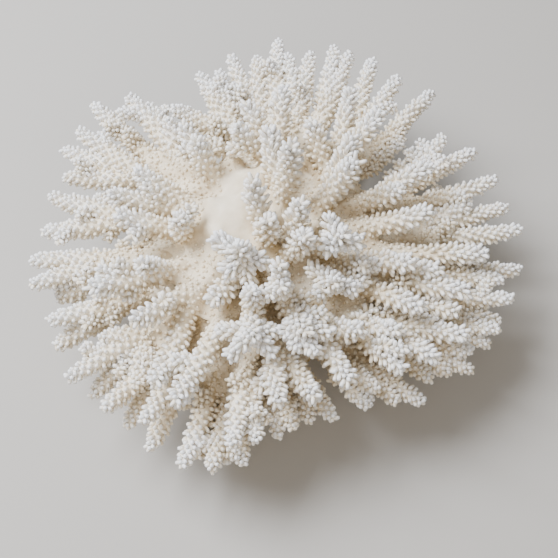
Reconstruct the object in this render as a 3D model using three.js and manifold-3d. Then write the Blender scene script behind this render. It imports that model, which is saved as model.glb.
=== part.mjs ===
// Table coral: a low, wide colony whose bristly branches fan out from one short, thick foot.
// The foot was cut off flat where the colony grew, and the colony rests on that cut.
// Lengths are in millimetres and angles in degrees. +Z is up, +X is to the right and +Y is the back.
// The origin is the middle of the flat cut.

import * as THREE from 'three';
import { mergeVertices } from 'three/addons/utils/BufferGeometryUtils.js';
import Module from 'manifold-3d';

const wasm = await Module();
wasm.setup();

// The foot flares into a plate, and the plate rises to a low crown: [radius, height] from the cut up.
const FOOT_PROFILE = [
  [47, 0], [43, 12], [44, 24], [54, 35], [70, 44], [82, 50],
  [85, 56], [76, 63], [60, 70], [44, 77], [30, 83], [16, 87],
];
const WIDEST_HEIGHT = 53;
const CROWN_HEIGHT = 89;
const FOOT_SIDES = 28;
const RIDGE_DEPTH = 2.4;
const KNOB_DEPTH = 1.8;

// Low knobs on the bare crown are too short to be branches: [angle, distance from the middle, height].
const KNOBS = [
  [256, 22, 96], [339, 26, 92], [141, 20, 95], [95, 36, 90], [165, 38, 88], [200, 34, 89],
  [120, 52, 82], [225, 44, 86], [150, 55, 78], [70, 50, 84],
];
const KNOB_ROOT = 62;
const KNOB_GIRTH = 17;

// The branches spread from this upright axis, a little left of and in front of the foot's middle.
const GROWTH_AXIS = new THREE.Vector2(-6, -4);

// Each branch is a list of its tips, the main one first: [angle from +X, reach from the middle, height].
const RIM_BRANCHES = [
  [[149, 148, 70], [154, 152, 62], [160, 144, 56]],
  [[169, 143, 66], [178, 143, 60]],
  [[186, 149, 60], [193, 149, 62], [195, 137, 46]],
  [[203, 144, 58], [207, 146, 44]],
  [[220, 151, 66], [224, 145, 50], [229, 121, 58], [216, 123, 66]],
  [[230, 148, 60], [234, 144, 42]],
  [[240, 143, 68], [242, 149, 46]],
  [[251, 154, 58], [252, 140, 36]],
  [[257, 151, 56], [263, 143, 50]],
  [[261, 142, 74], [262, 112, 54], [266, 135, 66]],
  [[271, 126, 50], [275, 125, 60]],
  [[280, 118, 50], [286, 122, 56]],
  [[296, 121, 52], [300, 118, 62]],
  [[304, 126, 50], [309, 135, 50]],
  [[320, 134, 50], [314, 129, 56]],
  [[324, 143, 48], [326, 138, 60]],
  [[332, 144, 50], [334, 146, 62]],
  [[339, 145, 50], [343, 148, 62]],
  [[347, 140, 64], [352, 151, 58]],
  [[1, 151, 66]],
  [[9, 148, 60], [11, 125, 64]],
  [[16, 146, 66]],
  [[25, 141, 70], [32, 128, 74]],
  [[46, 150, 70]],
  [[55, 143, 74], [64, 150, 72]],
  [[70, 148, 74], [74, 148, 76]],
  [[80, 140, 74], [86, 137, 74]],
  [[89, 148, 76]],
  [[95, 137, 72], [102, 141, 72]],
  [[107, 126, 76], [113, 127, 78], [127, 109, 80]],
  [[140, 157, 66]],
  [[134, 136, 78], [131, 124, 74], [131, 105, 78]],
];
const UPPER_BRANCHES = [
  [[206, 115, 88], [209, 85, 98]],
  [[224, 106, 92], [239, 125, 84]],
  [[247, 132, 92]],
  [[262, 90, 100], [260, 68, 112]],
  [[274, 65, 112], [282, 86, 98]],
  [[271, 119, 84], [281, 115, 78]],
  [[291, 114, 84], [301, 92, 90]],
  [[306, 120, 80], [311, 104, 88]],
  [[314, 127, 82], [326, 131, 74]],
  [[323, 103, 86], [326, 116, 66]],
  [[336, 122, 82], [331, 120, 72]],
  [[350, 126, 78]],
  [[335, 87, 92], [323, 64, 92], [339, 101, 84]],
  [[318, 69, 86], [302, 64, 100]],
  [[359, 92, 92]],
  [[19, 99, 90], [9, 75, 96]],
  [[46, 94, 98], [60, 96, 100], [68, 62, 100]],
  [[86, 79, 108], [103, 74, 100], [115, 56, 104]],
  [[134, 81, 96], [139, 62, 104]],
  [[162, 87, 92], [172, 99, 88], [166, 80, 88]],
  [[182, 92, 90], [191, 56, 98]],
];
const CROWN_BRANCHES = [
  [[247, 48, 118], [241, 69, 92]],
  [[322, 50, 112]],
  [[296, 40, 118], [319, 20, 116]],
  [[262, 22, 112], [177, 12, 118]],
  [[61, 21, 128], [93, 46, 108]],
  [[19, 50, 116], [42, 63, 104]],
];

// Where a tier's branches leave the plate, as a share of the tip's reach or height plus a fixed part, and
// how far along the main tine its side tines fork off.
const RIM = { reachShare: 0, reach: 46, heightShare: 0.45, height: 25, girth: 18, fork: 0.45 };
const UPPER = { reachShare: 0.28, reach: 10, heightShare: 0.25, height: 44, girth: 17, fork: 0.3 };
const CROWN = { reachShare: 0.3, reach: 6, heightShare: 0, height: 70, girth: 18, fork: 0.25 };

// A tine sags below the straight line by this share of its length.
const SAG = 0.07;

// A branch is slimmer at its root, fullest past its middle, and ends in a blunt point past its last ring.
const ROOT_GIRTH = 0.55;
const FULLEST = 0.6;
const TIP_GIRTH = 0.5;
const LAST_RING = 0.93;

// The small cups that cover a branch stand out and in by turns round each ring.
const RING_SPACING = 19;
const TINE_RINGS = 3;
const KNOB_RINGS = 2;
const RING_SIDES = 5;
const CUP_IN = 0.7;

// Where pieces touch, the later one is cut back by a plain sleeve round the earlier one. A slanted face
// needs a little more than the 0.3 gap along its radius.
const GAP = 0.6;

const BONE_WHITE = '#e7e2da';
const ROOT_TAN = '#d3c3a4';

function toSolid(geometry) {
  const bare = geometry.clone();
  bare.deleteAttribute('normal');
  bare.deleteAttribute('uv');
  const merged = mergeVertices(bare);
  const vertProperties = Float32Array.from(merged.attributes.position.array);
  const triVerts = Uint32Array.from(merged.index.array);
  return new wasm.Manifold(new wasm.Mesh({ numProp: 3, vertProperties, triVerts }));
}

function toGeometry(solid) {
  const mesh = solid.getMesh();
  const geometry = new THREE.BufferGeometry();
  geometry.setAttribute('position', new THREE.BufferAttribute(mesh.vertProperties, 3));
  geometry.setIndex(new THREE.BufferAttribute(mesh.triVerts, 1));
  geometry.computeVertexNormals();
  return geometry;
}

// Joins rings of points into one closed skin, with a fan of faces from each end ring to its end point.
function skinOfRings(start, rings, end) {
  const sides = rings[0].length;
  const points = [start, ...rings.flat(), end];
  const last = points.length - 1;
  const at = (ring, side) => 1 + ring * sides + (side % sides);
  const faces = [];
  for (let side = 0; side < sides; side += 1) {
    faces.push(0, at(0, side + 1), at(0, side));
    faces.push(last, at(rings.length - 1, side), at(rings.length - 1, side + 1));
    for (let ring = 0; ring < rings.length - 1; ring += 1) {
      faces.push(at(ring, side), at(ring, side + 1), at(ring + 1, side + 1));
      faces.push(at(ring, side), at(ring + 1, side + 1), at(ring + 1, side));
    }
  }
  const geometry = new THREE.BufferGeometry().setFromPoints(points);
  geometry.setIndex(faces);
  return geometry;
}

// Uneven ridges run up the foot under the branches, and knobs break up the plate.
function footRadius(radius, height, angle) {
  const ridge = RIDGE_DEPTH * (Math.cos(9 * angle + 0.6) + 0.6 * Math.cos(14 * angle - 0.8));
  const knob = KNOB_DEPTH * Math.cos(5 * angle + 0.24 * height) * Math.sin(7 * angle - 0.17 * height);
  return radius + ridge + knob;
}

function footGeometry(grow) {
  const rings = FOOT_PROFILE.map(([radius, height]) => {
    const points = [];
    for (let side = 0; side < FOOT_SIDES; side += 1) {
      const angle = (side / FOOT_SIDES) * Math.PI * 2;
      const out = footRadius(radius, height, angle) + grow;
      const lift = height > 0 ? grow * Math.sign(height - WIDEST_HEIGHT) : 0;
      points.push(new THREE.Vector3(out * Math.cos(angle), out * Math.sin(angle), height + lift));
    }
    return points;
  });
  const middle = new THREE.Vector3(0, 0, 0);
  return skinOfRings(middle, rings, new THREE.Vector3(0, 0, CROWN_HEIGHT + grow));
}

function tipPoint([angle, reach, height]) {
  const turn = THREE.MathUtils.degToRad(angle);
  return new THREE.Vector3(reach * Math.cos(turn), reach * Math.sin(turn), height);
}

// A branch's root lies inside the plate, straight in from its tip towards the growth axis.
function rootPoint(tip, tier) {
  const spread = new THREE.Vector2(tip.x, tip.y).sub(GROWTH_AXIS);
  const out = Math.min(tier.reach + tier.reachShare * spread.length(), spread.length());
  spread.setLength(out).add(GROWTH_AXIS);
  return new THREE.Vector3(spread.x, spread.y, tier.height + tier.heightShare * tip.z);
}

function saggingCurve(root, tip) {
  const middle = root.clone().lerp(tip, 0.5);
  middle.z -= SAG * root.distanceTo(tip);
  return new THREE.QuadraticBezierCurve3(root, middle, tip);
}

function tineCurves(tips, tier) {
  const mainTip = tipPoint(tips[0]);
  const main = saggingCurve(rootPoint(mainTip, tier), mainTip);
  const fork = main.getPoint(tier.fork);
  return [main, ...tips.slice(1).map((tip) => saggingCurve(fork, tipPoint(tip)))];
}

function girthAlong(share) {
  if (share < FULLEST) return THREE.MathUtils.mapLinear(share, 0, FULLEST, ROOT_GIRTH, 1);
  return THREE.MathUtils.mapLinear(share, FULLEST, LAST_RING, 1, TIP_GIRTH);
}

function tineGeometry(curve, girth, fewestRings, { cupIn, grow }) {
  const steps = Math.max(fewestRings, Math.round(curve.getLength() / RING_SPACING));
  const frames = curve.computeFrenetFrames(steps, false);
  const rings = [];
  for (let step = 0; step < steps; step += 1) {
    const share = (LAST_RING * step) / (steps - 1);
    const centre = curve.getPoint(share);
    const radius = (girth / 2) * girthAlong(share);
    const ring = [];
    for (let side = 0; side < RING_SIDES; side += 1) {
      const turn = (side / RING_SIDES) * Math.PI * 2;
      const out = radius * ((side + step) % 2 ? cupIn : 1) + grow;
      const point = centre.clone();
      point.addScaledVector(frames.normals[step], out * Math.cos(turn));
      point.addScaledVector(frames.binormals[step], out * Math.sin(turn));
      ring.push(point);
    }
    rings.push(ring);
  }
  const start = curve.getPoint(0).addScaledVector(curve.getTangent(0), -grow);
  const end = curve.getPoint(1).addScaledVector(curve.getTangent(1), grow);
  return skinOfRings(start, rings, end);
}

const BRISTLY = { cupIn: CUP_IN, grow: 0 };
const SLEEVE = { cupIn: 1, grow: GAP };

function knobCurve([angle, reach, height]) {
  const top = tipPoint([angle, reach, height]);
  return new THREE.LineCurve3(new THREE.Vector3(top.x, top.y, KNOB_ROOT), top);
}

function footSolid(skin) {
  const knobs = KNOBS.map((knob) => toSolid(tineGeometry(knobCurve(knob), KNOB_GIRTH, KNOB_RINGS, skin)));
  return knobs.reduce((whole, knob) => whole.add(knob), toSolid(footGeometry(skin.grow)));
}

function branchSolid({ curves, girth }, skin) {
  const tines = curves.map((curve) => toSolid(tineGeometry(curve, girth, TINE_RINGS, skin)));
  return tines.reduce((whole, tine) => whole.add(tine));
}

// Trimming can leave loose crumbs: only the main body is kept.
function mainBody(solid) {
  return solid.decompose().reduce((best, body) => (body.volume() > best.volume() ? body : best));
}

function listBranches() {
  const tiers = [
    ['crown', CROWN_BRANCHES, CROWN],
    ['upper', UPPER_BRANCHES, UPPER],
    ['rim', RIM_BRANCHES, RIM],
  ];
  return tiers.flatMap(([name, branches, tier]) => branches.map((tips, index) => ({
    name: `${name}_branch_${String(index + 1).padStart(2, '0')}`,
    curves: tineCurves(tips, tier),
    girth: tier.girth,
  })));
}

function coralMaterial(color) {
  return new THREE.MeshStandardMaterial({ color, roughness: 0.9, metalness: 0 });
}

function addPiece(group, name, solid, color) {
  const mesh = new THREE.Mesh(toGeometry(solid), coralMaterial(color));
  mesh.name = name;
  group.add(mesh);
}

function buildCoral() {
  const coral = new THREE.Group();
  addPiece(coral, 'foot', footSolid(BRISTLY), ROOT_TAN);
  const taken = [footSolid(SLEEVE)];
  for (const branch of listBranches()) {
    const trimmed = taken.reduce((rest, other) => rest.subtract(other), branchSolid(branch, BRISTLY));
    addPiece(coral, branch.name, mainBody(trimmed), BONE_WHITE);
    taken.push(branchSolid(branch, SLEEVE));
  }
  return coral;
}

export default buildCoral();
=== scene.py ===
# %% [markdown]
# A table coral, cup by cup.
# The real thing is one bleached skeleton of aragonite. About sixty branches with some 120 tips fan out
# from a short foot, and all of them are covered with small open cups, one for every animal that built it.
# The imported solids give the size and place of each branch. This lesson grows the fine surface on them:
# a tapered core for each branch, a spiral of cups made by Geometry Nodes, and a fused, knobbly foot.

import math
import random

import bpy
from mathutils import Euler, Matrix, Vector, noise
from mathutils.bvhtree import BVHTree


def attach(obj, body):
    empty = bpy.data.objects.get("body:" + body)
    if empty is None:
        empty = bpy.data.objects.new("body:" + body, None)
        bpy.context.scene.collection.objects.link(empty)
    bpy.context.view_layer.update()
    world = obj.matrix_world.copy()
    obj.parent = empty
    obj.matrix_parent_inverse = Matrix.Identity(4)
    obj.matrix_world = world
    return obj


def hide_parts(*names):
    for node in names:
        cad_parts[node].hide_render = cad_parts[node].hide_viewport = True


MM = 0.001
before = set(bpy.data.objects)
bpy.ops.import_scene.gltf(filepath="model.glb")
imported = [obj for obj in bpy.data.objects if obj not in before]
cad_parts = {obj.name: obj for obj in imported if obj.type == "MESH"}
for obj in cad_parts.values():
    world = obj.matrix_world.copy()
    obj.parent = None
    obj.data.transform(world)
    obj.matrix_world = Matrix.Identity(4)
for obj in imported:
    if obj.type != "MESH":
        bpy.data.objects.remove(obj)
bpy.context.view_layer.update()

# %% [markdown]
# The camera comes first, so that every later step can be judged in the final frame.
# The photo looks down on the colony at about 60 degrees from a little over half a metre away. A wider lens
# from closer by would frame it too, but would make the near branches too large. A 65 mm lens at that
# distance keeps them only slightly larger than the far ones, as the photo does.

# %% Camera
CAMERA_TARGET = Vector((3, -25, 53)) * MM
CAMERA_ELEVATION = math.radians(60)
CAMERA_DISTANCE = 617 * MM
CAMERA_LENS = 65
NEAREST_SEEN = 10 * MM

camera_data = bpy.data.cameras.new("camera")
camera_data.lens = CAMERA_LENS
camera_data.clip_start = NEAREST_SEEN
camera = bpy.data.objects.new("camera", camera_data)
bpy.context.scene.collection.objects.link(camera)
camera.rotation_euler = Euler((math.pi / 2 - CAMERA_ELEVATION, 0, 0))
camera_back = Vector((0, -math.cos(CAMERA_ELEVATION), math.sin(CAMERA_ELEVATION)))
camera.location = CAMERA_TARGET + CAMERA_DISTANCE * camera_back
bpy.context.scene.camera = camera
print("camera at", [round(c, 3) for c in camera.location])

# %% [markdown]
# Each branch is known by where its tips are. The same sizes built the solids: the angle of a tip round
# the colony, its reach from the middle of the foot and its height, in degrees and millimetres.
# The first tip of a branch is its main one, and the others fork off it part of the way along.
# The branches grow in three tiers: the rim makes the outline, the upper tier lies on it, and the crown
# points up from the middle.

# %% Where the tips are
RIM_BRANCHES = [
    [(149, 148, 70), (154, 152, 62), (160, 144, 56)],
    [(169, 143, 66), (178, 143, 60)],
    [(186, 149, 60), (193, 149, 62), (195, 137, 46)],
    [(203, 144, 58), (207, 146, 44)],
    [(220, 151, 66), (224, 145, 50), (229, 121, 58), (216, 123, 66)],
    [(230, 148, 60), (234, 144, 42)],
    [(240, 143, 68), (242, 149, 46)],
    [(251, 154, 58), (252, 140, 36)],
    [(257, 151, 56), (263, 143, 50)],
    [(261, 142, 74), (262, 112, 54), (266, 135, 66)],
    [(271, 126, 50), (275, 125, 60)],
    [(280, 118, 50), (286, 122, 56)],
    [(296, 121, 52), (300, 118, 62)],
    [(304, 126, 50), (309, 135, 50)],
    [(320, 134, 50), (314, 129, 56)],
    [(324, 143, 48), (326, 138, 60)],
    [(332, 144, 50), (334, 146, 62)],
    [(339, 145, 50), (343, 148, 62)],
    [(347, 140, 64), (352, 151, 58)],
    [(1, 151, 66)],
    [(9, 148, 60), (11, 125, 64)],
    [(16, 146, 66)],
    [(25, 141, 70), (32, 128, 74)],
    [(46, 150, 70)],
    [(55, 143, 74), (64, 150, 72)],
    [(70, 148, 74), (74, 148, 76)],
    [(80, 140, 74), (86, 137, 74)],
    [(89, 148, 76)],
    [(95, 137, 72), (102, 141, 72)],
    [(107, 126, 76), (113, 127, 78), (127, 109, 80)],
    [(140, 157, 66)],
    [(134, 136, 78), (131, 124, 74), (131, 105, 78)],
]
UPPER_BRANCHES = [
    [(206, 115, 88), (209, 85, 98)],
    [(224, 106, 92), (239, 125, 84)],
    [(247, 132, 92)],
    [(262, 90, 100), (260, 68, 112)],
    [(274, 65, 112), (282, 86, 98)],
    [(271, 119, 84), (281, 115, 78)],
    [(291, 114, 84), (301, 92, 90)],
    [(306, 120, 80), (311, 104, 88)],
    [(314, 127, 82), (326, 131, 74)],
    [(323, 103, 86), (326, 116, 66)],
    [(336, 122, 82), (331, 120, 72)],
    [(350, 126, 78)],
    [(335, 87, 92), (323, 64, 92), (339, 101, 84)],
    [(318, 69, 86), (302, 64, 100)],
    [(359, 92, 92)],
    [(19, 99, 90), (9, 75, 96)],
    [(46, 94, 98), (60, 96, 100), (68, 62, 100)],
    [(86, 79, 108), (103, 74, 100), (115, 56, 104)],
    [(134, 81, 96), (139, 62, 104)],
    [(162, 87, 92), (172, 99, 88), (166, 80, 88)],
    [(182, 92, 90), (191, 56, 98)],
]
CROWN_BRANCHES = [
    [(247, 48, 118), (241, 69, 92)],
    [(322, 50, 112)],
    [(296, 40, 118), (319, 20, 116)],
    [(262, 22, 112), (177, 12, 118)],
    [(61, 21, 128), (93, 46, 108)],
    [(19, 50, 116), (42, 63, 104)],
]
TIPS = {"crown": CROWN_BRANCHES, "upper": UPPER_BRANCHES, "rim": RIM_BRANCHES}
print("branches", sum(map(len, TIPS.values())))

# %% [markdown]
# A branch leaves the plate straight out towards its tip, sags a little and comes up again. Three points
# make that curve: the root, a point below the middle and the tip. It could be drawn by hand, branch by
# branch, but then a moved tip would leave its branch behind. Here only the tips are given.
# A tier's root lies at a reach and a height: a fixed part in millimetres and a share of the tip's own.
# "fork" and "fused" are shares of the way out: where side tines leave, and where a branch comes free of
# the plate. "rise" is how deep the line sags before it rises, as a share of its length.

# %% The line of each tine
TIERS = {
    "crown": {
        "reach_share": 0.3, "reach": 6, "height_share": 0, "height": 70,
        "fork": 0.25, "fused": 0.46, "rise": 0.18,
    },
    "upper": {
        "reach_share": 0.28, "reach": 10, "height_share": 0.25, "height": 44,
        "fork": 0.3, "fused": 0.48, "rise": 0.08,
    },
    "rim": {
        "reach_share": 0, "reach": 46, "height_share": 0.45, "height": 25,
        "fork": 0.45, "fused": 0.56, "rise": 0.07,
    },
}
GROWTH_AXIS = Vector((-6, -4, 0)) * MM
SIDE_RISE = 0.22


def tip_point(tip):
    """A tip's place in metres."""
    angle, reach, height = tip
    turn = math.radians(angle)
    return Vector((reach * math.cos(turn), reach * math.sin(turn), height)) * MM


def root_point(tip, tier):
    """Where a branch starts inside the plate."""
    spread = Vector((tip.x, tip.y, 0)) - GROWTH_AXIS
    out = min(tier["reach"] * MM + tier["reach_share"] * spread.length, spread.length)
    height = tier["height"] * MM + tier["height_share"] * tip.z
    root = GROWTH_AXIS + spread.normalized() * out
    return Vector((root.x, root.y, height))


def rising_point(root, tip, rise, share):
    """A point on the curve from root to tip, which sags first and rises at its end."""
    middle = (root + tip) / 2 - Vector((0, 0, rise * (tip - root).length))
    return root * (1 - share) ** 2 + middle * 2 * share * (1 - share) + tip * share**2


def tier_of(branch_name):
    """The tier that a branch's name starts with."""
    return branch_name.split("_")[0]


def list_branches():
    """Each branch's tines by its name: the root, the tip, the rise and the age that the tine starts at."""
    found = {}
    for tier_name, tier in TIERS.items():
        for number, tips in enumerate(TIPS[tier_name], 1):
            main_tip = tip_point(tips[0])
            main_root = root_point(main_tip, tier)
            rise = tier["rise"]
            fork = rising_point(main_root, main_tip, rise, tier["fork"])
            side_rise = rise if tier_name == "rim" else SIDE_RISE
            tines = [(main_root, main_tip, rise, 0.0)]
            tines += [(fork, tip_point(tip), side_rise, tier["fork"]) for tip in tips[1:]]
            found[f"{tier_name}_branch_{number:02d}"] = tines
    return found


branches = list_branches()
print("tines", sum(len(tines) for tines in branches.values()))

# %% [markdown]
# A real branch isn't a clean curve. It wavers, and it is thick where it leaves the plate, even along its
# middle and thinner towards a blunt tip. Each point of a tine gets a core radius for that, and an age, from
# 0 at the root to 1 at the tip, which later sets the cups and the colours. The wavering comes from a smooth
# random field in space rather than from a number per branch, so that neighbours waver together and keep
# their distance. Blender sets that field by the clock unless it is given a seed. It gets one here, so that
# every run grows the same coral.

# %% Wavering tines
SEED = 11
STEP = 4 * MM
LEAST_STEPS = 4
WAVER = 1.8 * MM
WAVER_SIZE = 22 * MM
COLONY_REACH = 150 * MM
BASE_RADIUS = 7.4 * MM
CORE_RADIUS = 4.8 * MM
SLIM_AGE = 0.6
TAPER_AGE = 0.72
TIP_SHARE = 0.5
LEFT_STOUTNESS = 0.1
BLUNT_LENGTH = 1.6
FLAT_END = 0.02
noise.seed_set(SEED)


def thickness(age, place):
    """A branch's radius without its cups: it thins from base to tip, and is stouter on the left side."""
    settling = 1 - min(1, age / SLIM_AGE)
    thinning = max(0, age - TAPER_AGE) / (1 - TAPER_AGE)
    radius = (CORE_RADIUS + (BASE_RADIUS - CORE_RADIUS) * settling) * (1 - (1 - TIP_SHARE) * thinning)
    return radius * (1 - LEFT_STOUTNESS * max(-1, min(1, place.x / COLONY_REACH)))


def round_end(radius, left):
    """The radius of a blunt end: full until the last stretch, then a quarter circle to its tip."""
    reach = min(1.0, left / (BLUNT_LENGTH * radius))
    return radius * math.sqrt(max(FLAT_END, 1 - (1 - reach) ** 2))


def along_tine(root, tip, rise, share):
    """A point on a tine's line, moved by the smooth random field."""
    point = rising_point(root, tip, rise, share)
    return point + noise.noise_vector(point / WAVER_SIZE) * WAVER * math.sin(math.pi * share)


def tine_samples(root, tip, rise, start_age):
    """Points along a tine as (place, age, core radius)."""
    length = (tip - root).length
    steps = max(LEAST_STEPS, round(length / STEP))
    samples = []
    for step in range(steps + 1):
        share = step / steps
        age = start_age + (1 - start_age) * share
        place = along_tine(root, tip, rise, share)
        samples.append((place, age, round_end(thickness(age, place), (1 - share) * length)))
    return samples


sample = tine_samples(*branches["rim_branch_01"][0])
print("radii in mm from root to tip", [round(radius / MM, 1) for _, _, radius in sample[::5]])

# %% [markdown]
# Here and there a branch throws out a short side twig. Most are small next to the branch, so they are
# drawn at random from a fixed seed. Some can be told apart in the photo, because they stand round a tip
# like a star or close a gap between two branches. Those have names: the branch, which of its tines they
# leave, and for each twig the age where it leaves and its own tip, in the form that the tips have above.

# %% Short twigs
TWIG_RADIUS = 2.4 * MM
TWIG_LENGTH = (6 * MM, 12 * MM)
TWIG_AGES = (0.45, 0.85)
TWIG_STEPS = 4
TWIG_FORWARD = 0.75
TWIG_AGEING = 0.6
TWIGS_PER_TINE = {"crown": 0, "upper": 0.7, "rim": 1.5}
NAMED_TWIGS = {
    "crown_branch_01": (0, [
        (0.85, (227, 46, 112)), (0.8, (263, 43, 102)), (0.75, (254, 52, 98)), (0.75, (241, 55, 100)),
    ]),
    "crown_branch_02": (0, [(0.85, (310, 47, 106)), (0.85, (326, 57, 106)), (0.85, (330, 37, 110))]),
    "upper_branch_04": (0, [
        (0.8, (249, 86, 90)), (0.8, (271, 80, 90)), (0.85, (256, 97, 88)), (0.85, (269, 92, 88)),
    ]),
    "upper_branch_05": (1, [
        (0.8, (274, 82, 90)), (0.8, (291, 87, 90)), (0.7, (292, 76, 92)), (0.85, (278, 90, 88)),
        (0.85, (284, 94, 88)),
    ]),
    "upper_branch_14": (1, [(0.8, (297, 45, 92)), (0.8, (311, 71, 90)), (0.8, (294, 63, 90))]),
    "upper_branch_19": (0, [(0.6, (121, 67, 80))]),
    "rim_branch_02": (0, [(0.34, (180, 79, 56)), (0.42, (178, 86, 58))]),
    "rim_branch_03": (0, [(0.38, (180, 84, 54)), (0.46, (180, 93, 56))]),
    "rim_branch_23": (1, [
        (0.55, (34, 88, 60)), (0.63, (35, 97, 63)), (0.71, (36, 107, 66)), (0.8, (36, 116, 69)),
    ]),
    "rim_branch_24": (0, [
        (0.42, (40, 77, 58)), (0.56, (39, 83, 60)), (0.65, (39, 92, 62)), (0.73, (39, 102, 66)),
    ]),
    "rim_branch_30": (0, [(0.4, (122, 74, 64)), (0.48, (121, 81, 68))]),
}
dice = random.Random(SEED)


def twig_samples(start, start_age, end):
    """Points along a straight twig as (place, age, core radius)."""
    twig = []
    for step in range(TWIG_STEPS + 1):
        share = step / TWIG_STEPS
        left = (1 - share) * (end - start).length
        age = start_age + (1 - start_age) * TWIG_AGEING * share
        twig.append((start.lerp(end, share), age, round_end(TWIG_RADIUS, left)))
    return twig


def nearest_sample(samples, age):
    """Which point of a tine, past its first, is nearest in age."""
    return min(range(1, len(samples)), key=lambda index: abs(samples[index][1] - age))


def random_twig(samples):
    """A twig that leaves a tine sideways at random, and leans towards the tine's tip."""
    index = nearest_sample(samples, dice.uniform(*TWIG_AGES))
    length = dice.uniform(*TWIG_LENGTH)
    start, age, _ = samples[index]
    along = (start - samples[index - 1][0]).normalized()
    side = along.orthogonal().normalized()
    side.rotate(Matrix.Rotation(dice.uniform(0, 2 * math.pi), 3, along))
    end = start + (along * TWIG_FORWARD + side).normalized() * (length + CORE_RADIUS)
    return twig_samples(start, age, end)


def named_twig(samples, age, tip):
    """A twig from the point of that age on a tine to its own tip."""
    start, start_age, _ = samples[nearest_sample(samples, age)]
    return twig_samples(start, start_age, tip_point(tip))


tine_lines = {}
for name, tines in branches.items():
    lines = [tine_samples(*tine) for tine in tines]
    chance = TWIGS_PER_TINE[tier_of(name)] / 2
    twig_count = sum(dice.random() < chance for _ in range(2 * len(lines)))
    lines += [random_twig(dice.choice(lines)) for _ in range(twig_count)]
    tine_lines[name] = lines
for name, (tine, twigs) in NAMED_TWIGS.items():
    tine_lines[name] += [named_twig(tine_lines[name][tine], age, tip) for age, tip in twigs]
all_lines = [line for lines in tine_lines.values() for line in lines]
total_length = sum((b[0] - a[0]).length for line in all_lines for a, b in zip(line, line[1:]))
print("lines", len(all_lines), "length in mm", round(total_length / MM))

# %% [markdown]
# Deep between the branches little light reaches, so the skeleton there is made tan to brown as painted
# shade.
# A shader could look for such places itself, but it would have to look again in every render. How deep a
# point lies is a fact of the shape, so it is worked out once: a few rays are sent up from each point against
# the imported solids, and the share of them that hits something is kept on the point as its painted shade.
# The rays stand in rings, each at a tilt from upright. The middle ring is turned by half a step.

# %% How much painted shade a point gets
RAY_REACH = 55 * MM
RAY_RINGS = {15: 0, 45: 0.5, 70: 0}
RAYS_PER_RING = 6
LINE_STAND_OFF = 10 * MM
rays = [
    Euler((math.radians(tilt), 0, 2 * math.pi * (turn + stagger) / RAYS_PER_RING)).to_matrix()
    @ Vector((0, 0, 1))
    for tilt, stagger in RAY_RINGS.items()
    for turn in range(RAYS_PER_RING)
]


def solids_tree():
    """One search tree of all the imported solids."""
    points, faces = [], []
    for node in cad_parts.values():
        first = len(points)
        points += [vertex.co.copy() for vertex in node.data.vertices]
        faces += [[first + i for i in polygon.vertices] for polygon in node.data.polygons]
    return BVHTree.FromPolygons(points, faces)


solids = solids_tree()


# Painted shade: the more rays a point's surroundings block, the darker and tanner the finish makes it.
def painted_shade_of(place, stand_off):
    """The share of the rays from just outside the place that enter a solid."""
    hits = 0
    for ray in rays:
        found, normal, _, _ = solids.ray_cast(place + ray * stand_off, ray, RAY_REACH)
        hits += found is not None and normal.dot(ray) < 0
    return hits / len(rays)


print("shelter from root to tip", [round(painted_shade_of(p, LINE_STAND_OFF), 2) for p, _, _ in sample[::5]])

# %% [markdown]
# Node trees are easier to read when adding a node takes one line. This helper adds a node, sets its
# properties, and fills each of its inputs either with a value or with a link from another node.
# A modifier's inputs are set by their sockets' identifiers, because two sockets may share a name.

# %% Two helpers for node trees
def add_node(tree, kind, inputs=None, **settings):
    """Adds a node. An input is given by its name or number, as a value or as a socket to link from."""
    node = tree.nodes.new(kind)
    for setting, value in settings.items():
        setattr(node, setting, value)
    for key, value in (inputs or {}).items():
        socket = node.inputs[key]
        if isinstance(value, bpy.types.NodeSocket):
            tree.links.new(value, socket)
        else:
            socket.default_value = value
    return node


def set_inputs(modifier, tree, values):
    """Sets a modifier's inputs by their sockets' identifiers."""
    for item in tree.interface.items_tree:
        if item.item_type == "SOCKET" and item.in_out == "INPUT" and item.name in values:
            modifier[item.identifier] = values[item.name]


print("helpers ready")

# %% [markdown]
# What the finish is on the real thing: skeletal aragonite, bleached by the sun. It is matt and chalky,
# with a little light passing through the thin walls. New growth at the tips is cool white and older skeleton
# is cream. The lips of the cups are whiter, partly as fresh growth and partly as a painted highlight, and
# the cup bases tanner as painted shade between the cups. What lies deep gets painted shade, tan to brown.
# It could be one colour with dirt painted on. Here each cause adds to one number, its whiteness, or takes
# from it, and a ramp turns that number into the colour, so that the branches and the foot match where they
# meet. The tan lies on the ramp between the brown and the cream, and needs no step of its own.

# %% The colours of bleached aragonite
PURE_WHITE = "#FFFFFF"
TIP_WHITE = "#F9FBFF"
CREAM = "#F5EAD5"
DEEP_BROWN = "#AC9262"
WHITENESS_STEPS = [(0.0, DEEP_BROWN), (0.5, CREAM), (0.86, TIP_WHITE), (1.0, PURE_WHITE)]
BASE_WHITENESS = 0.05
AGE_WHITENS = 0.5
# The lip is whiter partly as fresh growth and partly as a painted highlight. The cup base, left tanner, is
# painted shade between the cups.
LIP_WHITE_AND_BASE_SHADE = 0.27
# Painted shade: the blocked share of the rays darkens the skeleton towards brown.
PAINTED_SHADE_TANS = -0.5
STAIN_MOTTLES = 0.3
# Painted shade in the pits of the pores.
PORE_PAINTED_SHADE = -0.12


def linear(hex_colour):
    """An sRGB hex colour as linear RGBA."""
    channels = [int(hex_colour[i:i + 2], 16) / 255 for i in (1, 3, 5)]
    return tuple(c / 12.92 if c <= 0.04045 else ((c + 0.055) / 1.055) ** 2.4 for c in channels) + (1.0,)


print("cream in linear light", [round(channel, 3) for channel in linear(CREAM)])
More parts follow.
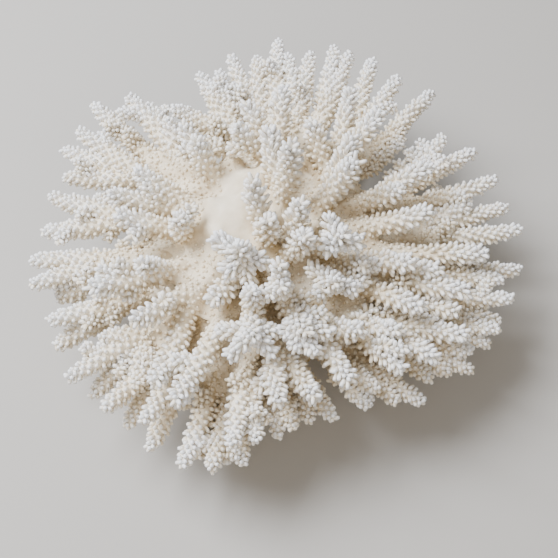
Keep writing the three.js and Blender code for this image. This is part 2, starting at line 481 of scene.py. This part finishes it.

# %% [markdown]
# The finish reads four facts that the mesh carries: age, cup, painted shade and pored. Its stain, grain and
# pores are patterns in Object coordinates, which stay put because every piece sits at the origin. The
# pores are also made tanner, as painted shade in their pits.
# Aragonite's refractive index is about 1.53 at its lowest, and a chalky break makes it very rough. A touch
# of subsurface light softens the thin lips, and no more: the cups overlap the core inside, and a strong
# glow would draw those hidden surfaces as dark rings.
# A new ramp has its two ends already, and Blender keeps its steps in order as others are put between them.
# The real grain and pores are too fine to show in the render, so both are drawn coarser here.

# %% The finish: bleached aragonite
ARAGONITE_IOR = 1.53
CHALKY_ROUGHNESS = 0.82
GLOW_WEIGHT = 0.1
GLOW_RADIUS = (1.0, 0.8, 0.6)
GLOW_DEPTH = 3.0 * MM
STAIN_SIZE = 14 * MM
GRAIN_SIZE = 0.6 * MM
GRAIN_STRENGTH = 0.35
GRAIN_DEPTH = 0.2 * MM
PORE_SPACING = 1.6 * MM
PORE_EDGE = (0.12, 0.34)
PORE_DEPTH = -1.4


def aragonite(name):
    """Bleached coral skeleton, whiter by the point's age and cup, darker by its painted shade and by the
    painted shade in its pores.
    """
    material = bpy.data.materials.new(name)
    material.use_nodes = True
    tree = material.node_tree
    shader = tree.nodes["Principled BSDF"]
    place = add_node(tree, "ShaderNodeTexCoord").outputs["Object"]
    age, cup, shelter, pored = (
        add_node(tree, "ShaderNodeAttribute", attribute_name=fact).outputs["Fac"]
        for fact in ("age", "cup", "shelter", "pored")
    )
    stain = add_node(tree, "ShaderNodeTexNoise", {"Vector": place, "Scale": 1 / STAIN_SIZE, "Detail": 4.0})
    cell = add_node(tree, "ShaderNodeTexVoronoi", {"Vector": place, "Scale": 1 / PORE_SPACING})
    pore = add_node(
        tree,
        "ShaderNodeMapRange",
        {
            "Value": cell.outputs["Distance"],
            "From Min": PORE_EDGE[0],
            "From Max": PORE_EDGE[1],
            "To Min": 1.0,
            "To Max": 0.0,
        },
    ).outputs["Result"]
    # The open pores both pit the bump and, as painted shade, tan the colour.
    open_pore = add_node(tree, "ShaderNodeMath", {0: pore, 1: pored}, operation="MULTIPLY").outputs[0]
    whiteness = BASE_WHITENESS
    for cause, strength in (
        (age, AGE_WHITENS),
        (cup, LIP_WHITE_AND_BASE_SHADE),
        (shelter, PAINTED_SHADE_TANS),
        (stain.outputs["Fac"], STAIN_MOTTLES),
        (open_pore, PORE_PAINTED_SHADE),
    ):
        sum_so_far = {0: cause, 1: strength, 2: whiteness}
        whiteness = add_node(tree, "ShaderNodeMath", sum_so_far, operation="MULTIPLY_ADD").outputs[0]
    ramp = add_node(tree, "ShaderNodeValToRGB", {"Fac": whiteness})
    elements = ramp.color_ramp.elements
    for position, _ in WHITENESS_STEPS[1:-1]:
        elements.new(position)
    for element, (_, colour) in zip(elements, WHITENESS_STEPS):
        element.color = linear(colour)
    grain = add_node(tree, "ShaderNodeTexNoise", {"Vector": place, "Scale": 1 / GRAIN_SIZE, "Detail": 3.0})
    pitted = {0: open_pore, 1: PORE_DEPTH, 2: grain.outputs["Fac"]}
    relief = add_node(tree, "ShaderNodeMath", pitted, operation="MULTIPLY_ADD").outputs[0]
    raised = {"Height": relief, "Strength": GRAIN_STRENGTH, "Distance": GRAIN_DEPTH}
    bump = add_node(tree, "ShaderNodeBump", raised)
    tree.links.new(ramp.outputs["Color"], shader.inputs["Base Color"])
    tree.links.new(bump.outputs["Normal"], shader.inputs["Normal"])
    shader.inputs["Roughness"].default_value = CHALKY_ROUGHNESS
    shader.inputs["IOR"].default_value = ARAGONITE_IOR
    shader.inputs["Subsurface Weight"].default_value = GLOW_WEIGHT
    shader.inputs["Subsurface Radius"].default_value = GLOW_RADIUS
    shader.inputs["Subsurface Scale"].default_value = GLOW_DEPTH
    return material


branch_finish = aragonite("bleached_aragonite_branches")
foot_finish = aragonite("bleached_aragonite_foot")
print("finishes", branch_finish.name, foot_finish.name)

# %% [markdown]
# One cup of the skeleton is a short tapered tube with a rounded lip and a shallow well in its mouth. It is
# made once, one unit wide and one unit tall, with the attribute cup running from 0 at its base to 1 at its
# lip and lower again in the well. The finish turns the low base into painted shade between the cups, the
# lip into fresh growth with a painted highlight, and the well into painted shade. It is repeated some
# twenty thousand times, so it has five sides and sixteen faces. Smooth shading
# hides the corners at the size that a cup has in the picture.

# %% One cup
CUP_SIDES = 5
CUP_PROFILE = [(0.62, 0.0), (0.5, 0.74), (0.33, 1.0)]
CUP_WELL = 0.9
WELL_SHADE_WHITENESS = 0.45


def make_cup():
    """One cup as a small mesh with a cup attribute."""
    points, heights, faces = [], [], []
    for out, height in CUP_PROFILE:
        for side in range(CUP_SIDES):
            turn = 2 * math.pi * side / CUP_SIDES
            points.append((out * math.cos(turn), out * math.sin(turn), height))
            heights.append(height)
    # The well in the cup's mouth is darker than the lip, as painted shade.
    points.append((0, 0, CUP_WELL))
    heights.append(WELL_SHADE_WHITENESS)
    for ring in range(len(CUP_PROFILE) - 1):
        for side in range(CUP_SIDES):
            a, b = ring * CUP_SIDES + side, ring * CUP_SIDES + (side + 1) % CUP_SIDES
            faces.append((a, b, b + CUP_SIDES, a + CUP_SIDES))
    lip = (len(CUP_PROFILE) - 1) * CUP_SIDES
    faces.append(tuple(range(CUP_SIDES))[::-1])
    faces += [(lip + side, lip + (side + 1) % CUP_SIDES, len(points) - 1) for side in range(CUP_SIDES)]
    mesh = bpy.data.meshes.new("cup")
    mesh.from_pydata(points, [], faces)
    mesh.attributes.new("cup", "FLOAT", "POINT").data.foreach_set("value", heights)
    mesh.shade_smooth()
    return bpy.data.objects.new("cup", mesh)


cup = make_cup()
bpy.context.scene.collection.objects.link(cup)
print("cup faces", len(cup.data.polygons))

# %% [markdown]
# Cups stand on the branches in a spiral and on the foot at random, so two trees are needed. What they
# share is made once: the way in, with a name for each size, cups that stand on given points, and the way
# out, where the instances become real and get their finish. No two cups are alike, so each leans off by a
# random amount and has a random share of its length.

# %% What both trees share
def start_tree(name, source, size_names):
    """A tree with named inputs, and its input sockets."""
    tree = bpy.data.node_groups.new(name, "GeometryNodeTree")
    ways_in = [(source, "Geometry"), *((size, "Float") for size in size_names)]
    ways_in += [("Cup", "Object"), ("Finish", "Material"), ("Seed", "Int")]
    for label, kind in ways_in:
        tree.interface.new_socket(label, in_out="INPUT", socket_type=f"NodeSocket{kind}")
    tree.interface.new_socket("Grown", in_out="OUTPUT", socket_type="NodeSocketGeometry")
    return tree, add_node(tree, "NodeGroupInput").outputs


def stand_cups(tree, given, points, outward, looseness, width, length, length_shares, chosen=True):
    """Cups on the chosen points, each facing outward but for a random lean, and random in length."""
    seeded = {"Seed": given["Seed"]}
    lean_limits = {0: (-looseness,) * 3, 1: (looseness,) * 3, **seeded}
    lean = add_node(tree, "FunctionNodeRandomValue", lean_limits, data_type="FLOAT_VECTOR").outputs[0]
    aimed = add_node(tree, "ShaderNodeVectorMath", {0: outward, 1: lean}, operation="ADD").outputs[0]
    facing = add_node(tree, "FunctionNodeAlignRotationToVector", {"Vector": aimed}, axis="Z").outputs[0]
    share_limits = {2: length_shares[0], 3: length_shares[1], **seeded}
    share = add_node(tree, "FunctionNodeRandomValue", share_limits).outputs[1]
    height = add_node(tree, "ShaderNodeMath", {0: length, 1: share}, operation="MULTIPLY").outputs[0]
    shape = add_node(tree, "GeometryNodeObjectInfo", {"Object": given["Cup"], "As Instance": True})
    return add_node(
        tree,
        "GeometryNodeInstanceOnPoints",
        {
            "Points": points,
            "Selection": chosen,
            "Instance": shape.outputs["Geometry"],
            "Rotation": facing,
            "Scale": add_node(tree, "ShaderNodeCombineXYZ", {0: width, 1: width, 2: height}).outputs[0],
        },
    ).outputs[0]


def end_tree(tree, given, parts):
    """Joins the parts, makes their instances real and smooth, and gives them the finish."""
    both = add_node(tree, "GeometryNodeJoinGeometry")
    for part in parts:
        tree.links.new(part, both.inputs[0])
    real = add_node(tree, "GeometryNodeRealizeInstances", {"Geometry": both.outputs[0]}).outputs[0]
    smooth = add_node(tree, "GeometryNodeSetShadeSmooth", {"Geometry": real}).outputs[0]
    finished = {"Geometry": smooth, "Material": given["Finish"]}
    done = add_node(tree, "GeometryNodeSetMaterial", finished).outputs[0]
    add_node(tree, "NodeGroupOutput", {"Grown": done})
    print(tree.name, "has", len(tree.nodes), "nodes")


print("shared steps ready")

# %% [markdown]
# The cups of a branch follow a rule, so Geometry Nodes place them. A branch's lines become curves. The
# core is a round profile swept along each curve, as thick as its points say. Points are then dealt out
# along the curve, and each one is turned round the branch by the golden angle, the same turn that spreads
# the seeds of a sunflower, so the cups lie evenly without rows.
# A cup leans towards the tip, more so near the end, and is low near the root. The last stretch may have
# shorter cups again, since they are the youngest. What faces down gets painted shade too.

# %% The tree that grows a bristly branch
GOLDEN_ANGLE = math.radians(137.508)
CORE_SIDES = 12
CUP_SUNK_TO = 0.85
CUP_LOOSENESS = 0.28
CUP_LENGTH_SHARES = (0.7, 1.25)
LEANING_FROM_AGE = 0.5
LEAST_LEAN = 0.3
LOW_CUP_SHARE = 0.36
YOUNG_FROM_AGE = 0.8
OPEN_ABOVE = 0.9
SHADED_BELOW = -0.5
UNDER_PAINTED_SHADE = 0.4
CUP_INPUTS = (
    "Cup spacing", "Cup width", "Cup length", "Bare below", "Full cups from", "Tip cup share", "Tip lean",
)


def shaded_below(tree, geometry, facing, shelter):
    """The geometry, with more painted shade where it faces down."""
    # Painted shade under things: the more a point faces down, the darker the finish makes it.
    up = add_node(tree, "ShaderNodeSeparateXYZ", {"Vector": facing}).outputs["Z"]
    facing_range = {"From Min": OPEN_ABOVE, "From Max": SHADED_BELOW, "To Min": 0.0, "To Max": UNDER_PAINTED_SHADE}
    under = add_node(tree, "ShaderNodeMapRange", {"Value": up, **facing_range}).outputs["Result"]
    total = add_node(tree, "ShaderNodeMath", {0: shelter, 1: under}, operation="ADD").outputs[0]
    marked = {"Geometry": geometry, "Name": "shelter", "Value": total}
    return add_node(tree, "GeometryNodeStoreNamedAttribute", marked).outputs[0]


def by_age(tree, age, ages, amounts, curve="LINEAR"):
    """An amount that goes from the first to the second as the age does."""
    limits = {"From Min": ages[0], "From Max": ages[1], "To Min": amounts[0], "To Max": amounts[1]}
    return add_node(
        tree, "ShaderNodeMapRange", {"Value": age, **limits}, interpolation_type=curve
    ).outputs["Result"]


def bristly_branch_tree():
    """Lines with age, thick and painted shade attributes become cores covered with cups."""
    tree, given = start_tree("bristly_branch", "Lines", CUP_INPUTS)
    age, thick, shelter = (
        add_node(tree, "GeometryNodeInputNamedAttribute", {"Name": fact}, data_type="FLOAT").outputs[0]
        for fact in ("age", "thick", "shelter")
    )
    curves = add_node(tree, "GeometryNodeMeshToCurve", {"Mesh": given["Lines"]}).outputs["Curve"]
    profile = add_node(tree, "GeometryNodeCurvePrimitiveCircle", {"Resolution": CORE_SIDES, "Radius": 1.0})
    swept = {"Curve": curves, "Profile Curve": profile.outputs["Curve"], "Scale": thick, "Fill Caps": True}
    tube = add_node(tree, "GeometryNodeCurveToMesh", swept).outputs[0]
    core = shaded_below(tree, tube, add_node(tree, "GeometryNodeInputNormal").outputs[0], shelter)

    spaced = {"Curve": curves, "Length": given["Cup spacing"]}
    dealt = add_node(tree, "GeometryNodeCurveToPoints", spaced, mode="LENGTH").outputs
    index = add_node(tree, "GeometryNodeInputIndex").outputs[0]
    turn = add_node(tree, "ShaderNodeMath", {0: index, 1: GOLDEN_ANGLE}, operation="MULTIPLY").outputs[0]
    spiral = {"Vector": dealt["Normal"], "Axis": dealt["Tangent"], "Angle": turn}
    out = add_node(tree, "ShaderNodeVectorRotate", spiral).outputs[0]
    sunk = add_node(tree, "ShaderNodeMath", {0: thick, 1: CUP_SUNK_TO}, operation="MULTIPLY").outputs[0]
    offset = add_node(tree, "ShaderNodeVectorMath", {0: out, "Scale": sunk}, operation="SCALE").outputs[0]
    moved = {"Geometry": shaded_below(tree, dealt["Points"], out, shelter), "Offset": offset}
    points = add_node(tree, "GeometryNodeSetPosition", moved).outputs[0]

    lean = by_age(tree, age, (LEANING_FROM_AGE, 1.0), (LEAST_LEAN, given["Tip lean"]))
    forward = {0: dealt["Tangent"], "Scale": lean}
    leaning = add_node(tree, "ShaderNodeVectorMath", forward, operation="SCALE").outputs[0]
    outward = add_node(tree, "ShaderNodeVectorMath", {0: out, 1: leaning}, operation="ADD").outputs[0]
    growing_ages = (given["Bare below"], given["Full cups from"])
    grown = by_age(tree, age, growing_ages, (LOW_CUP_SHARE, 1.0), "SMOOTHSTEP")
    young = by_age(tree, age, (YOUNG_FROM_AGE, 1.0), (1.0, given["Tip cup share"]), "SMOOTHSTEP")
    length = given["Cup length"]
    for factor in (grown, young):
        length = add_node(tree, "ShaderNodeMath", {0: length, 1: factor}, operation="MULTIPLY").outputs[0]
    beyond_root = {0: age, 1: given["Bare below"]}
    chosen = add_node(tree, "ShaderNodeMath", beyond_root, operation="GREATER_THAN").outputs[0]
    width = given["Cup width"]
    cups = stand_cups(
        tree, given, points, outward, CUP_LOOSENESS, width, length, CUP_LENGTH_SHARES, chosen
    )
    end_tree(tree, given, (cups, core))
    return tree


branch_tree = bristly_branch_tree()

# %% [markdown]
# Every branch now goes through the tree. Its lines are a mesh of points and edges that carry age, thick
# and painted shade. The evaluated result is kept as a plain mesh, and the object with the modifier is
# removed.
# The three tiers differ in their cups: long and pressed together like petals at a crown's tip, short all
# along a rim branch.

# %% Grow the branches
CUP_SIZES = {
    "crown": {
        "Cup spacing": 0.5 * MM, "Cup width": 2.5 * MM, "Cup length": 6.0 * MM,
        "Bare below": 0.36, "Full cups from": 0.9, "Tip cup share": 1.0, "Tip lean": 1.3,
    },
    "upper": {
        "Cup spacing": 0.5 * MM, "Cup width": 2.45 * MM, "Cup length": 4.8 * MM,
        "Bare below": 0.24, "Full cups from": 0.84, "Tip cup share": 1.0, "Tip lean": 1.15,
    },
    "rim": {
        "Cup spacing": 0.46 * MM, "Cup width": 2.3 * MM, "Cup length": 3.6 * MM,
        "Bare below": 0.2, "Full cups from": 0.65, "Tip cup share": 0.8, "Tip lean": 0.75,
    },
}


def line_mesh(lines):
    """A mesh of open lines with the attributes that the tree reads."""
    points, edges, ages, thicks, painted_shades = [], [], [], [], []
    for line in lines:
        first = len(points)
        edges += [(first + i, first + i + 1) for i in range(len(line) - 1)]
        for place, age, thick in line:
            points.append(place)
            ages.append(age)
            thicks.append(thick)
            # Painted shade from the share of blocked rays.
            painted_shades.append(painted_shade_of(place, LINE_STAND_OFF))
    mesh = bpy.data.meshes.new("lines")
    mesh.from_pydata(points, edges, [])
    for label, values in (("age", ages), ("thick", thicks), ("shelter", painted_shades)):
        mesh.attributes.new(label, "FLOAT", "POINT").data.foreach_set("value", values)
    return mesh


def evaluated_mesh(source):
    """The plain mesh that the source's modifiers make. The source is then removed."""
    evaluated = source.evaluated_get(bpy.context.evaluated_depsgraph_get())
    mesh = bpy.data.meshes.new_from_object(evaluated)
    bpy.data.objects.remove(source)
    return mesh


def grow(mesh, tree, values):
    """The plain mesh that the tree makes of a mesh."""
    source = bpy.data.objects.new(mesh.name, mesh)
    bpy.context.scene.collection.objects.link(source)
    modifier = source.modifiers.new("grow", "NODES")
    modifier.node_group = tree
    set_inputs(modifier, tree, values)
    return evaluated_mesh(source)


def settle(name, mesh, node):
    """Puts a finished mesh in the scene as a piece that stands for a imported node."""
    mesh.name = name
    piece = bpy.data.objects.new(name, mesh)
    bpy.context.scene.collection.objects.link(piece)
    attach(piece, "root")
    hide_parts(node)


def triangles_in(mesh):
    """How many triangles a mesh has."""
    return sum(len(polygon.vertices) - 2 for polygon in mesh.polygons)


triangles = []
for number, (name, lines) in enumerate(tine_lines.items()):
    values = {"Cup": cup, "Finish": branch_finish, "Seed": number, **CUP_SIZES[tier_of(name)]}
    branch_mesh = grow(line_mesh(lines), branch_tree, values)
    settle(f"bristly_{name}", branch_mesh, name)
    triangles.append(triangles_in(branch_mesh))
print("triangles in the branches", sum(triangles), "most in one", max(triangles))

# %% [markdown]
# The foot and the plate are where all the branches have grown together. The real surface is webbed and
# knobbly, with deep gaps between the limbs and one smooth bare patch in the middle. It could be sculpted,
# but a sculpt can't be written down in a few lines. Here plain closed tubes are laid over each other: the
# stump with the plate, the bare patch, a limb for every tine and ten low knobs. They are fused afterwards.
# The plate's profile runs up from the cut, as reach and height. A bare spot is x, y, reach and height, and
# a knob is given as the tips are, all in millimetres. The two shapes say how wide a spot or a knob is at a
# share of the way up.

# %% Plate, bare patch and knobs
PLATE_PROFILE = [
    (47, 0), (43, 12), (44, 24), (52, 34), (62, 41), (70, 46),
    (72, 50), (66, 56), (54, 62), (42, 69), (28, 76), (14, 80),
]
PLATE_SIDES = 48
BARE_SPOTS = [(-23, 0, 24, 89), (-15, 23, 20, 87), (3, -4, 16, 87)]
BARE_SHAPE = [(0.55, 1.0), (0.8, 0.97), (0.9, 0.85), (0.96, 0.66), (1.0, 0.3)]
BARE_SIDES = 24
KNOBS = [
    (256, 22, 96), (339, 26, 92), (141, 20, 95), (95, 36, 90), (165, 38, 88), (200, 34, 89),
    (120, 52, 82), (225, 44, 86), (150, 55, 78), (70, 50, 84),
]
KNOB_ROOT = 62 * MM
KNOB_RADIUS = 6.5 * MM
KNOB_SHAPE = [(0, 1.5), (0.5, 1.3), (0.75, 1.0), (0.92, 0.7), (1, 0.3)]
LIMB_SIDES = 12


def add_tube(points, faces, line, sides):
    """Adds a closed tube along (place, radius) pairs to a list of points and faces."""
    first = len(points)
    for index, (place, radius) in enumerate(line):
        before, after = line[max(index - 1, 0)][0], line[min(index + 1, len(line) - 1)][0]
        turn = (after - before).to_track_quat("Z", "Y")
        for side in range(sides):
            angle = 2 * math.pi * side / sides
            points.append(place + turn @ Vector((radius * math.cos(angle), radius * math.sin(angle), 0)))
    for ring in range(len(line) - 1):
        for side in range(sides):
            a, b = first + ring * sides + side, first + ring * sides + (side + 1) % sides
            faces.append((a, b, b + sides, a + sides))
    last = first + (len(line) - 1) * sides
    faces.append(tuple(range(first, first + sides))[::-1])
    faces.append(tuple(range(last, last + sides)))


foot_points, foot_faces = [], []
plate = [(Vector((0, 0, height)) * MM, out * MM) for out, height in PLATE_PROFILE]
add_tube(foot_points, foot_faces, plate, PLATE_SIDES)
for x, y, out, top in BARE_SPOTS:
    spot = [(Vector((x, y, top * up)) * MM, out * wide * MM) for up, wide in BARE_SHAPE]
    add_tube(foot_points, foot_faces, spot, BARE_SIDES)
print("points in the plate and the bare patch", len(foot_points))

# %% [markdown]
# A limb is the part of a tine that is still held by its neighbours. It follows the tine's own line, a
# little thicker than the core, so that the branch grows out of it without a step. A main tine's limb also
# has the way in from the hub, a point near the middle of the plate and a little below the root.

# %% Limbs
LIMB_MARGIN = 0.5 * MM
LIMB_END_SHARE = 0.8
LIMB_STEPS = 8
HUB_DROP = 4 * MM
HUB_SHARE = 0.25


def limb_line(root, tip, rise, start_age, fused_age):
    """The fused part of a tine as (place, radius) pairs."""
    line = []
    if start_age == 0:
        hub = GROWTH_AXIS.lerp(Vector((root.x, root.y, 0)), HUB_SHARE)
        hub.z = root.z - HUB_DROP
        line += [(hub.lerp(root, step / LIMB_STEPS), BASE_RADIUS) for step in range(LIMB_STEPS)]
    for step in range(LIMB_STEPS + 1):
        age = start_age + (fused_age - start_age) * step / LIMB_STEPS
        share = (age - start_age) / (1 - start_age)
        size = LIMB_END_SHARE if step == LIMB_STEPS else 1
        place = along_tine(root, tip, rise, share)
        line.append((place, (thickness(age, place) + LIMB_MARGIN) * size))
    return line


for name, tines in branches.items():
    for tine in tines:
        limb = limb_line(*tine, TIERS[tier_of(name)]["fused"])
        add_tube(foot_points, foot_faces, limb, LIMB_SIDES)
for knob in KNOBS:
    top = tip_point(knob)
    root = Vector((top.x, top.y, KNOB_ROOT))
    bulge = [(root.lerp(top, share), KNOB_RADIUS * size) for share, size in KNOB_SHAPE]
    add_tube(foot_points, foot_faces, bulge, LIMB_SIDES)
print("points with limbs and knobs", len(foot_points))

# %% [markdown]
# The living coral filled its corners, so the gaps between two close limbs are webbed. A union of the tubes
# would leave sharp creases there. A voxel remesh wraps them in one even skin instead. That skin is then
# swollen, wrapped again and shrunk back by the same amount, which leaves a web wherever the swollen skins
# met, and everything else where it was.

# %% Fuse them into one skin
SKIN_VOXEL = 1.7 * MM
WEB_REACH = 3.5 * MM
SMOOTHING = 0.5
SMOOTHING_ROUNDS = 4


def add_wrap(target):
    """Wraps the target in one even skin."""
    remesh = target.modifiers.new("wrap", "REMESH")
    remesh.mode = "VOXEL"
    remesh.voxel_size = SKIN_VOXEL


def add_swell(target, distance):
    """Moves the target's skin out, or in where the distance is negative."""
    swell = target.modifiers.new("swell", "DISPLACE")
    swell.strength = distance
    swell.mid_level = 0


def fused(points, faces):
    """The tubes as one skin, with webs where the gap between two limbs was narrow."""
    mesh = bpy.data.meshes.new("foot")
    mesh.from_pydata(points, [], faces)
    source = bpy.data.objects.new("foot", mesh)
    bpy.context.scene.collection.objects.link(source)
    for distance in (WEB_REACH, -WEB_REACH):
        add_wrap(source)
        add_swell(source, distance)
    smooth = source.modifiers.new("soften", "SMOOTH")
    smooth.factor = SMOOTHING
    smooth.iterations = SMOOTHING_ROUNDS
    return evaluated_mesh(source)


foot_mesh = fused(foot_points, foot_faces)
print("faces in the skin", len(foot_mesh.polygons))

# %% [markdown]
# The fused skin gets its own low relief, its painted shade and its age. The bare patch in the middle is
# smooth, and everything round it is pored, with a ragged edge between them. These facts are worked out once
# for each point and kept as attributes, for the shader and for the buds of the next step. The cut under the
# foot stays flat: the colony rests on it.

# %% Relief and marks on the skin
LUMP_SIZE = 9 * MM
LUMP_DEPTH = 0.9 * MM
FINE_LUMP_SIZE = LUMP_SIZE / 3
FINE_LUMP_SHARE = 0.5
CUT_HEIGHT = 1.5 * MM
FOOT_AGE = 0.5
FOOT_AGE_REACH = 90 * MM
BARE_WHITENESS = 0.65
PORED_WHITENESS = 0.4
BARE_FROM_HEIGHT = 0.6 * BARE_SPOTS[0][3] * MM
BARE_EDGE = (0.85, 1.15)
BARE_RAGGED = 0.5
BUD_FREE_HEIGHT = 6 * MM
BUD_FACING = 0.5
SKIN_LIFT = 1 * MM
SKIN_STAND_OFF = 2 * MM


def clamped(share):
    """The share, kept between 0 and 1."""
    return min(1.0, max(0.0, share))


def pored_at(place):
    """How pored the skin is: 0 on the bare patch, 1 outside it, with a ragged edge between."""
    if place.z < BARE_FROM_HEIGHT:
        return 1.0
    nearest = min((place.xy - Vector((x, y)) * MM).length / (out * MM) for x, y, out, _ in BARE_SPOTS)
    ragged = nearest + BARE_RAGGED * noise.noise(place / LUMP_SIZE)
    return clamped((ragged - BARE_EDGE[0]) / (BARE_EDGE[1] - BARE_EDGE[0]))


def places_and_normals(mesh):
    """Copies of the mesh's points and their normals, which stay true while the mesh changes."""
    return [(vertex.co.copy(), vertex.normal.copy()) for vertex in mesh.vertices]


def roughen(mesh):
    """Pushes the skin in and out by a smooth field and flattens the cut."""
    moved = []
    for place, normal in places_and_normals(mesh):
        push = noise.noise(place / LUMP_SIZE) + FINE_LUMP_SHARE * noise.noise(place / FINE_LUMP_SIZE)
        point = place + normal * push * LUMP_DEPTH
        if point.z < CUT_HEIGHT:
            point.z = 0
        moved.extend(point)
    mesh.vertices.foreach_set("co", moved)
    mesh.update()


def mark_foot(mesh):
    """Gives the skin its age, painted shade and pores. It is younger towards the branches."""
    marks = {"shelter": [], "age": [], "cup": [], "pored": [], "budding": []}
    for place, normal in places_and_normals(mesh):
        pores = pored_at(place)
        # Painted shade from the share of blocked rays, cast from just off the skin.
        marks["shelter"].append(painted_shade_of(place + normal * SKIN_LIFT, SKIN_STAND_OFF))
        marks["age"].append(min(FOOT_AGE, FOOT_AGE * place.xy.length / FOOT_AGE_REACH))
        marks["cup"].append(BARE_WHITENESS + (PORED_WHITENESS - BARE_WHITENESS) * pores)
        marks["pored"].append(pores)
        marks["budding"].append(pores * clamped(normal.z + BUD_FACING) * (place.z > BUD_FREE_HEIGHT))
    for label, values in marks.items():
        mesh.attributes.new(label, "FLOAT", "POINT").data.foreach_set("value", values)


roughen(foot_mesh)
mark_foot(foot_mesh)
foot_mesh.materials.clear()
foot_mesh.materials.append(foot_finish)
print("points in the skin", len(foot_mesh.vertices))

# %% [markdown]
# Round the bare patch the skin is covered with buds: cups that have hardly grown. They keep a distance
# from each other rather than following a line, so a second tree deals out points over the skin and stands
# a low cup on each. The attribute budding thins them out on the bare patch and on the underside. A bud is
# hardly whiter than the skin that it stands on, because it has no fresh lip yet.

# %% Buds on the skin
BUD_SIZES = {"Bud distance": 3.0 * MM, "Bud width": 1.8 * MM, "Bud length": 1.1 * MM}
BUD_DENSITY = 1 / (2.0 * MM) ** 2
BUD_LOOSENESS = 0.35
BUD_LENGTH_SHARES = (0.5, 1.7)
BUD_WHITENESS = 0.45


def budded_skin_tree():
    """A skin with a budding attribute gets low cups."""
    tree, given = start_tree("budded_skin", "Skin", BUD_SIZES)
    budding = add_node(tree, "GeometryNodeInputNamedAttribute", {"Name": "budding"}, data_type="FLOAT")
    dealt = add_node(
        tree,
        "GeometryNodeDistributePointsOnFaces",
        {
            "Mesh": given["Skin"],
            "Distance Min": given["Bud distance"],
            "Density Max": BUD_DENSITY,
            "Density Factor": budding.outputs["Attribute"],
            "Seed": given["Seed"],
        },
        distribute_method="POISSON",
    ).outputs
    width, length = given["Bud width"], given["Bud length"]
    buds = stand_cups(
        tree, given, dealt["Points"], dealt["Normal"], BUD_LOOSENESS, width, length, BUD_LENGTH_SHARES
    )
    real = add_node(tree, "GeometryNodeRealizeInstances", {"Geometry": buds}).outputs[0]
    toned = {"Geometry": real, "Name": "cup", "Value": BUD_WHITENESS}
    pale = add_node(tree, "GeometryNodeStoreNamedAttribute", toned).outputs[0]
    end_tree(tree, given, (pale, given["Skin"]))
    return tree


values = {**BUD_SIZES, "Cup": cup, "Finish": foot_finish, "Seed": SEED}
budded_mesh = grow(foot_mesh, budded_skin_tree(), values)
settle("fused_foot", budded_mesh, "foot")
bpy.data.objects.remove(cup)
print("triangles in the foot", triangles_in(budded_mesh))

# %% [markdown]
# The floor is a plain board with matt pale paint, so that the white coral and its shadow both show. The
# photo's light is broad and comes from above and a little from the left and back. A large soft panel
# stands there, slightly cool, with a weaker and warmer one in front. The room fills the shadows.

# %% Floor and lights
FLOOR_GREY = "#B4B1AC"
FLOOR_ROUGHNESS = 0.9
FLOOR_HALF = 3.0
PANEL_TARGET = Vector((0, 0, 0.06))
PANELS = {
    "key_panel": {"place": (-0.75, 0.25, 1.2), "size": 0.8, "power": 50, "colour": "#F6F9FF"},
    "fill_panel": {"place": (0.1, -1.0, 1.0), "size": 1.2, "power": 8, "colour": "#FFF4E6"},
}
ROOM_COLOUR = (1.0, 0.965, 0.92, 1)
ROOM_STRENGTH = 0.31


def matt_pale_paint():
    """The floor's finish: flat emulsion, which has hardly any gloss."""
    material = bpy.data.materials.new("matt_pale_paint")
    material.use_nodes = True
    shader = material.node_tree.nodes["Principled BSDF"]
    shader.inputs["Base Color"].default_value = linear(FLOOR_GREY)
    shader.inputs["Roughness"].default_value = FLOOR_ROUGHNESS
    return material


def add_floor():
    """A flat square under the coral, far wider than the picture."""
    corners = [(x * FLOOR_HALF, y * FLOOR_HALF, 0) for x, y in ((-1, -1), (1, -1), (1, 1), (-1, 1))]
    mesh = bpy.data.meshes.new("floor")
    mesh.from_pydata(corners, [], [(0, 1, 2, 3)])
    mesh.materials.append(matt_pale_paint())
    floor = bpy.data.objects.new("floor", mesh)
    bpy.context.scene.collection.objects.link(floor)


def add_panel(name, place, size, power, colour):
    """A square soft light that faces the coral."""
    data = bpy.data.lights.new(name, "AREA")
    data.size = size
    data.energy = power
    data.color = linear(colour)[:3]
    panel = bpy.data.objects.new(name, data)
    panel.location = place
    panel.rotation_euler = (PANEL_TARGET - Vector(place)).to_track_quat("-Z", "Y").to_euler()
    bpy.context.scene.collection.objects.link(panel)


add_floor()
for name, panel in PANELS.items():
    add_panel(name, **panel)
room = bpy.data.worlds.new("studio")
room.use_nodes = True
room_light = room.node_tree.nodes["Background"].inputs
room_light["Color"].default_value = ROOM_COLOUR
room_light["Strength"].default_value = ROOM_STRENGTH
bpy.context.scene.world = room
print("lights", list(PANELS))
